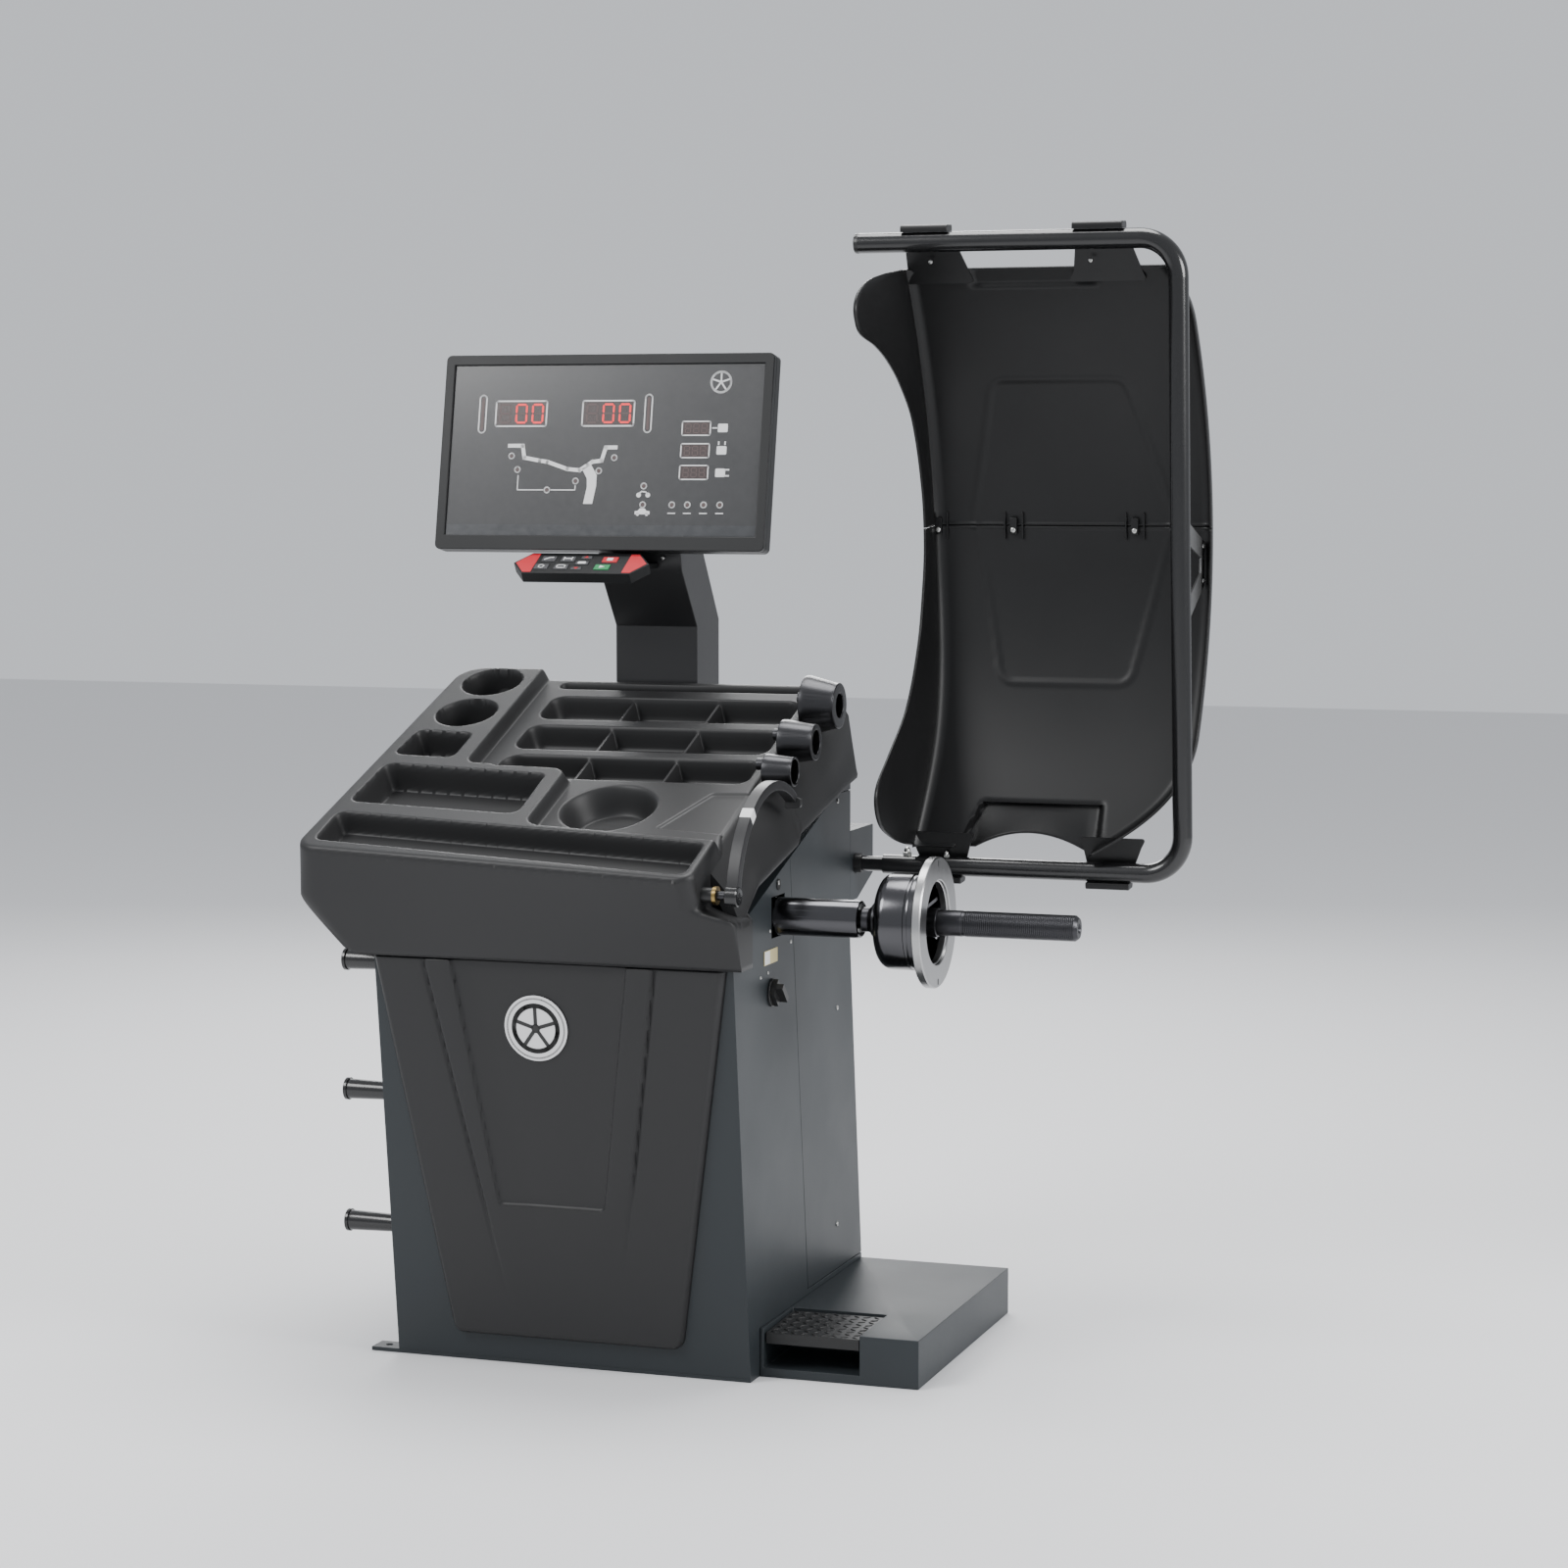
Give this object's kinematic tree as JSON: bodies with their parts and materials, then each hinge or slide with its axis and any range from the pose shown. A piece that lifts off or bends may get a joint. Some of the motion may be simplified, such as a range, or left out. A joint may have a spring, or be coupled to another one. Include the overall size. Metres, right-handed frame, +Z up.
{
  "type": "wheel balancer",
  "caption": "Floor-standing wheel balancer with inclined weight tray, tilted display, flanged threaded spindle, swing-over wheel hood, distance gauge and foot brake.",
  "frame": {"origin": "on the floor under the spindle axis, in the middle of the cabinet's width", "axes": "+X along the spindle to its free end, +Y to the back, +Z up"},
  "size_m": [1.2819, 0.8431, 1.7894],
  "materials": {
    "anthracite_steel": "powder coat",
    "charcoal_plastic": "moulded, fine grain",
    "black_plastic": "satin",
    "key_grey": "satin",
    "key_red": "satin",
    "key_green": "satin",
    "black_steel": "gloss powder coat",
    "polished_steel": "polished",
    "bright_steel": "turned",
    "black_oxide": "black oxide",
    "bearing_steel": "ground",
    "tread_steel": "chequer plate",
    "frame_steel": "primer grey",
    "motor_grey": "satin paint",
    "pulley_alloy": "machined",
    "belt_rubber": "matte",
    "board_green": "solder mask",
    "brass": "satin",
    "screen": "gloss",
    "label_paper": "printed film",
    "badge_white": "gloss"
  },
  "bodies": {
    "cabinet": {"base_frame": "anthracite_steel", "cabinet_shell": "anthracite_steel", "side_panel": "anthracite_steel", "rear_panel": "anthracite_steel", "front_cover": "charcoal_plastic", "front_badge": "badge_white", "weight_tray": "charcoal_plastic", "cone_pegs": "bright_steel", "storage_pegs": "black_steel", "wheel_plinth": "anthracite_steel", "monitor_arm": "black_steel", "monitor_bracket": "black_steel", "monitor_housing": "black_plastic", "monitor_bezel": "black_plastic", "screen_glass": "screen", "display_board": "board_green", "keypad_housing": "black_plastic", "spindle_support": "frame_steel", "spindle_housing": "polished_steel", "spindle_bearings": "bearing_steel", "piezo_sensors": "brass", "drive_motor": "motor_grey", "drive_belt": "belt_rubber", "circuit_board": "board_green", "power_switch": "black_plastic", "data_plate": "label_paper", "pivot_box": "anthracite_steel", "pivot_bushes": "black_plastic", "pivot_spring": "bright_steel", "gauge_guide": "black_plastic", "gauge_collar": "brass", "pedal_pin": "bright_steel"},
    "spindle": {"spindle_shaft": "black_oxide", "spindle_pulley": "pulley_alloy", "encoder_disc": "bearing_steel", "backing_bell": "polished_steel", "flange_disc": "bright_steel"},
    "motor_drive": {"motor_pulley": "pulley_alloy"},
    "hood": {"hood_frame": "black_steel", "hood_shell_upper": "black_plastic", "hood_shell_lower": "black_plastic", "hood_bracket": "black_steel", "hood_bolts": "bright_steel", "pivot_shaft": "black_steel"},
    "gauge_slide": {"gauge_rod": "bright_steel"},
    "gauge_swing": {"gauge_arm": "black_steel"},
    "brake": {"brake_pedal": "tread_steel"},
    "switch": {"switch_knob": "black_plastic"},
    "cone_large": {"cone_large": "black_oxide"},
    "cone_medium": {"cone_medium": "black_oxide"},
    "cone_small": {"cone_small": "black_oxide"},
    "key_distance": {"key_distance": "key_grey"},
    "key_width": {"key_width": "key_grey"},
    "key_diameter": {"key_diameter": "key_grey"},
    "key_mode": {"key_mode": "key_grey"},
    "key_up": {"key_up": "key_grey"},
    "key_enter": {"key_enter": "key_grey"},
    "key_down": {"key_down": "key_grey"},
    "key_stop": {"key_stop": "key_red"},
    "key_start": {"key_start": "key_green"}
  },
  "joints": [
    {"name": "spindle_spin", "type": "hinge", "parent": "cabinet", "child": "spindle", "pos_m": [0, 0, 0.708], "axis": [1, 0, 0], "continuous": true},
    {"name": "motor_spin", "type": "hinge", "parent": "cabinet", "child": "motor_drive", "pos_m": [0, 0.045, 0.43], "axis": [1, 0, 0], "continuous": true},
    {"name": "hood_swing", "type": "hinge", "parent": "cabinet", "child": "hood", "pos_m": [0.2, 0.4, 0.748], "axis": [1, 0, 0], "range_deg": [0, 55]},
    {"name": "gauge_reach", "type": "slide", "parent": "cabinet", "child": "gauge_slide", "axis": [1, 0, 0], "range_m": [0, 0.2]},
    {"name": "gauge_swing", "type": "hinge", "parent": "gauge_slide", "child": "gauge_swing", "pos_m": [0.31, -0.25, 0.768], "axis": [1, 0, 0], "range_deg": [0, 35]},
    {"name": "pedal_press", "type": "hinge", "parent": "cabinet", "child": "brake", "pos_m": [0.38, 0.046, 0.064], "axis": [1, 0, 0], "range_deg": [0, 10], "stiffness_Nm_per_rad": 60, "springref_deg": -1.15},
    {"name": "switch_turn", "type": "hinge", "parent": "cabinet", "child": "switch", "pos_m": [0.3, -0.032, 0.592], "axis": [1, 0, 0], "range_deg": [0, 90]},
    {"name": "key_distance_press", "type": "slide", "parent": "cabinet", "child": "key_distance", "axis": [0, 0.5, -0.866], "range_m": [0, 0.0012], "stiffness_N_per_m": 300, "springref_m": -0.0002},
    {"name": "key_width_press", "type": "slide", "parent": "cabinet", "child": "key_width", "axis": [0, 0.5, -0.866], "range_m": [0, 0.0012], "stiffness_N_per_m": 300, "springref_m": -0.0002},
    {"name": "key_diameter_press", "type": "slide", "parent": "cabinet", "child": "key_diameter", "axis": [0, 0.5, -0.866], "range_m": [0, 0.0012], "stiffness_N_per_m": 300, "springref_m": -0.0002},
    {"name": "key_mode_press", "type": "slide", "parent": "cabinet", "child": "key_mode", "axis": [0, 0.5, -0.866], "range_m": [0, 0.0012], "stiffness_N_per_m": 300, "springref_m": -0.0002},
    {"name": "key_up_press", "type": "slide", "parent": "cabinet", "child": "key_up", "axis": [0, 0.5, -0.866], "range_m": [0, 0.0012], "stiffness_N_per_m": 300, "springref_m": -0.0002},
    {"name": "key_enter_press", "type": "slide", "parent": "cabinet", "child": "key_enter", "axis": [0, 0.5, -0.866], "range_m": [0, 0.0012], "stiffness_N_per_m": 300, "springref_m": -0.0002},
    {"name": "key_down_press", "type": "slide", "parent": "cabinet", "child": "key_down", "axis": [0, 0.5, -0.866], "range_m": [0, 0.0012], "stiffness_N_per_m": 300, "springref_m": -0.0002},
    {"name": "key_stop_press", "type": "slide", "parent": "cabinet", "child": "key_stop", "axis": [0, 0.5, -0.866], "range_m": [0, 0.0012], "stiffness_N_per_m": 300, "springref_m": -0.0002},
    {"name": "key_start_press", "type": "slide", "parent": "cabinet", "child": "key_start", "axis": [0, 0.5, -0.866], "range_m": [0, 0.0012], "stiffness_N_per_m": 300, "springref_m": -0.0002},
    {"name": "cone_large_off", "type": "slide", "parent": "cabinet", "child": "cone_large", "axis": [1, 0, 0], "range_m": [0, 0.07]},
    {"name": "cone_medium_off", "type": "slide", "parent": "cabinet", "child": "cone_medium", "axis": [1, 0, 0], "range_m": [0, 0.07]},
    {"name": "cone_small_off", "type": "slide", "parent": "cabinet", "child": "cone_small", "axis": [1, 0, 0], "range_m": [0, 0.07]}
  ],
  "couplings": [
    {"joint": "motor_spin", "follows": "spindle_spin", "ratio": 3}
  ]
}
